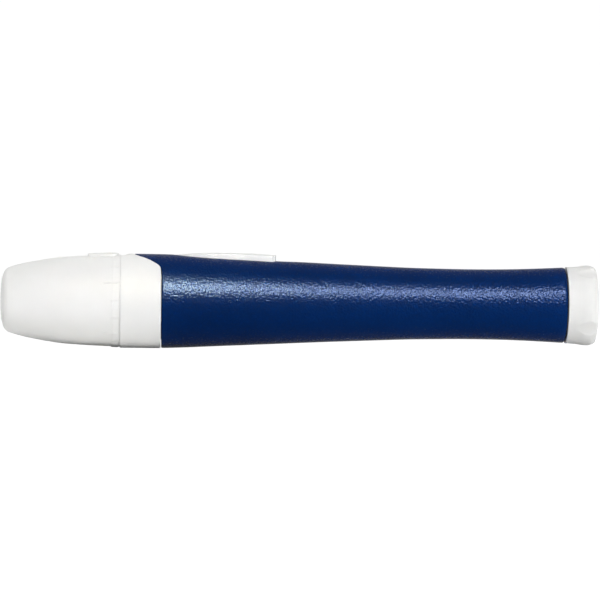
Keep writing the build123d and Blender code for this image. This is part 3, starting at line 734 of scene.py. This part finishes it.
finishOf = {
    "lancet_cup": carrierPlastic, "carrier_shaft": carrierPlastic, "shaft_head": carrierPlastic,
    "spring_collar": carrierPlastic, "nose_collar": whiteShell, "chassis_left": innerPlastic,
    "chassis_right": innerPlastic, "rear_guide": innerPlastic, "cocking_sleeve": innerPlastic,
    "depth_cam": innerPlastic, "click_ring": springSteel, "spring_washer": springSteel,
    "drive_spring": springSteel, "return_spring": springSteel, "knob_spring": springSteel,
    "button_spring": springSteel,
}
for node, finish in finishOf.items():
    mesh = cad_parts[node].data
    mesh.materials.clear()
    mesh.materials.append(finish)
print("carried-over parts finished")


# floor, light and camera

stageLook = {"floorColour": 0.92, "glow": 1.08, "glowShare": 0.92, "mirrorShare": 0.25, "size": 4.0,
             "frontEdge": -2.5, "middle": 0.4, "bendStart": 0.9, "bendRadius": 0.6, "top": 3.0,
             "room": 0.29, "paperScale": 30.0, "paperChange": 0.01, "paperRoughness": 0.9}


def seenWhite(nodes, links, share):
    # how much of a surface's white the camera sees, and a mirror or a clear part a little of it
    path = nodes.new("ShaderNodeLightPath")
    through, dimmed, either, seen = (nodes.new("ShaderNodeMath") for _ in range(4))
    through.operation, dimmed.operation = "MAXIMUM", "MULTIPLY"
    either.operation, seen.operation = "MAXIMUM", "MULTIPLY"
    links.new(path.outputs["Is Glossy Ray"], through.inputs[0])
    links.new(path.outputs["Is Transmission Ray"], through.inputs[1])
    links.new(through.outputs["Value"], dimmed.inputs[0])
    dimmed.inputs[1].default_value = stageLook["mirrorShare"]
    links.new(path.outputs["Is Camera Ray"], either.inputs[0])
    links.new(dimmed.outputs["Value"], either.inputs[1])
    links.new(either.outputs["Value"], seen.inputs[0])
    seen.inputs[1].default_value = share
    return seen.outputs["Value"]


def paleFinish():
    # pale paper that also glows where the camera sees it, so that the background is an even white
    material, nodes, links, shader, place = newMaterial("palePaper")
    tone, change = stageLook["floorColour"], stageLook["paperChange"]
    fine = noiseOver(nodes, links, place, stageLook["paperScale"])
    links.new(tinted(nodes, links, fine, (tone - change,) * 3, (tone + change,) * 3),
              shader.inputs["Base Color"])
    shader.inputs["Roughness"].default_value = stageLook["paperRoughness"]
    shader.inputs["Specular IOR Level"].default_value = 0.0
    glow = nodes.new("ShaderNodeEmission")
    glow.inputs["Strength"].default_value = stageLook["glow"]
    both = nodes.new("ShaderNodeMixShader")
    links.new(seenWhite(nodes, links, stageLook["glowShare"]), both.inputs["Fac"])
    links.new(shader.outputs["BSDF"], both.inputs[1])
    links.new(glow.outputs["Emission"], both.inputs[2])
    output = next(node for node in nodes if node.type == "OUTPUT_MATERIAL")
    links.new(both.outputs["Shader"], output.inputs["Surface"])
    return material


def buildStage():
    # a pale floor that curves up into a backdrop behind the pen
    radius, bend = stageLook["bendRadius"], stageLook["bendStart"]
    turn = np.linspace(0, math.pi / 2, 24)
    across = np.linspace(-1, 1, 9)[None, :] * stageLook["size"]
    behind = np.concatenate([[stageLook["frontEdge"], stageLook["middle"]], bend + radius * np.sin(turn),
                             [bend + radius]])[:, None]
    up = np.concatenate([[0, 0], radius * (1 - np.cos(turn)), [stageLook["top"]]])[:, None]
    points = np.stack(np.broadcast_arrays(across, behind, up), axis=-1)
    mesh = bpy.data.meshes.new("paleFloor")
    mesh.from_pydata(points.reshape(-1, 3), [], gridFaces(*points.shape[:2], closedColumns=False))
    mesh.polygons.foreach_set("use_smooth", np.ones(len(mesh.polygons), bool))
    mesh.materials.append(paleFinish())
    floor = bpy.data.objects.new("paleFloor", mesh)
    bpy.context.scene.collection.objects.link(floor)


# front to sky light the white parts evenly, tail lifts the knob, and gleam and near, which only
# shine, draw the band of light along the barrel; places and sizes are in metres
lampAim = (0.0, 0.0, 0.0085)
lamps = {
    "front": {"place": (-0.14, -0.85, 0.10), "size": (0.9, 0.6), "power": 2.16},
    "high": {"place": (-0.05, -0.50, 0.55), "size": (0.9, 0.4), "power": 2.3},
    "back": {"place": (0.0, 0.5, 0.7), "size": (0.9, 0.4), "power": 2.0, "glossy": False},
    "rear": {"place": (0.05, 0.80, 0.16), "size": (0.9, 0.4), "power": 2.0, "glossy": False},
    "sky": {"place": (0.0, -0.10, 0.90), "size": (1.2, 1.2), "power": 1.6, "glossy": False},
    "tail": {"place": (0.16, -0.16, 0.008), "size": (0.1, 0.012), "power": 0.17, "glossy": False},
    "gleam": {"place": (0.12, -0.60, 0.43), "size": (0.30, 0.22), "power": 38.0, "diffuse": False},
    "near": {"place": (-0.027, -0.092, 0.0745), "aim": (-0.025, 0.0, 0.0085), "size": (0.035, 0.042),
             "power": 1.75, "colour": (1.0, 0.84, 0.36), "diffuse": False},
}


def aimAt(holder, place, aim):
    # a lamp or a camera at its place, turned to look at the aim
    direction = Vector(aim) - Vector(place)
    holder.location = place
    holder.rotation_euler = direction.to_track_quat("-Z", "Y").to_euler()


def buildRoom():
    # a dim white world that the camera sees as plain white
    world = bpy.data.worlds.new("softRoom")
    bpy.context.scene.world = world
    world.use_nodes = True
    nodes, links = world.node_tree.nodes, world.node_tree.links
    room, white = nodes["Background"], nodes.new("ShaderNodeBackground")
    room.inputs["Strength"].default_value = stageLook["room"]
    white.inputs["Strength"].default_value = 1.0
    for sky in (room, white):
        sky.inputs["Color"].default_value = (1, 1, 1, 1)
    both = nodes.new("ShaderNodeMixShader")
    links.new(seenWhite(nodes, links, 1.0), both.inputs["Fac"])
    links.new(room.outputs["Background"], both.inputs[1])
    links.new(white.outputs["Background"], both.inputs[2])
    links.new(both.outputs["Shader"], nodes["World Output"].inputs["Surface"])


def buildLamps():
    # rectangles of light that the camera doesn't see
    for name, lamp in lamps.items():
        light = bpy.data.lights.new(name, "AREA")
        light.shape = "RECTANGLE"
        light.size, light.size_y = lamp["size"]
        light.energy = lamp["power"]
        light.color = lamp.get("colour", (1.0, 1.0, 1.0))
        holder = bpy.data.objects.new(name, light)
        aimAt(holder, lamp["place"], lamp.get("aim", lampAim))
        holder.visible_camera = False
        holder.visible_diffuse = lamp.get("diffuse", True)
        holder.visible_glossy = lamp.get("glossy", True)
        bpy.context.scene.collection.objects.link(holder)


view = {"place": (-0.026, -0.68, 0.0085), "aim": (0.0, 0.0, 0.00894), "roll": 0.6, "lens": 226.0,
        "sensor": 36.0, "nearest": 0.01}


def buildCamera():
    # a long lens, rolled a little as in the photo
    camera = bpy.data.cameras.new("camera")
    camera.lens = view["lens"]
    camera.sensor_width = view["sensor"]
    camera.clip_start = view["nearest"]
    holder = bpy.data.objects.new("camera", camera)
    aimAt(holder, view["place"], view["aim"])
    holder.rotation_euler.rotate_axis("Z", math.radians(view["roll"]))
    bpy.context.scene.collection.objects.link(holder)
    bpy.context.scene.camera = holder


buildStage()
buildRoom()
buildLamps()
buildCamera()
bpy.context.scene.view_settings.view_transform = "Standard"
print("stage, lights and camera set")
